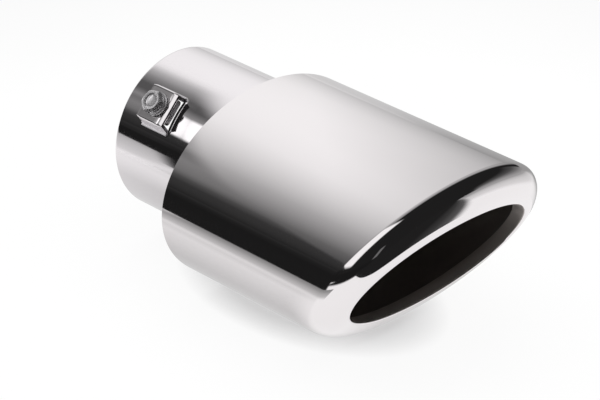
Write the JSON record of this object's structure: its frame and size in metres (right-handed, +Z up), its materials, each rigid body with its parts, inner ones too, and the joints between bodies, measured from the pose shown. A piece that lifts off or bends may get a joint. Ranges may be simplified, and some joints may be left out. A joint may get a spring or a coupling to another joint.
{
  "type": "exhaust tip",
  "caption": "Oval slash-cut exhaust tip: a polished sheet shell with a rolled-in lip, closed behind by an end plate round an inlet collar that clamps on a tail pipe with a screw.",
  "frame": {"origin": "centre of the inlet collar's bore on the collar's rear rim, where the tail pipe enters", "axes": "+X along the collar from the inlet to the mouth, +Z up with the longer side of the slash cut on top, the screw pad on the -Y side"},
  "size_m": [0.1599, 0.105, 0.078],
  "materials": {
    "polished_shell": "mirror-polished stainless steel",
    "polished_collar": "polished stainless steel",
    "plate_steel": "satin pressed stainless steel",
    "screw_steel": "bright zinc-plated steel"
  },
  "bodies": {
    "root": {"outer_shell": "polished_shell", "inlet_collar": "polished_collar", "rear_plate": "plate_steel", "clamp_screw": "screw_steel", "lock_washer": "screw_steel", "flat_washer": "screw_steel", "screw_nut": "screw_steel"}
  },
  "joints": []
}
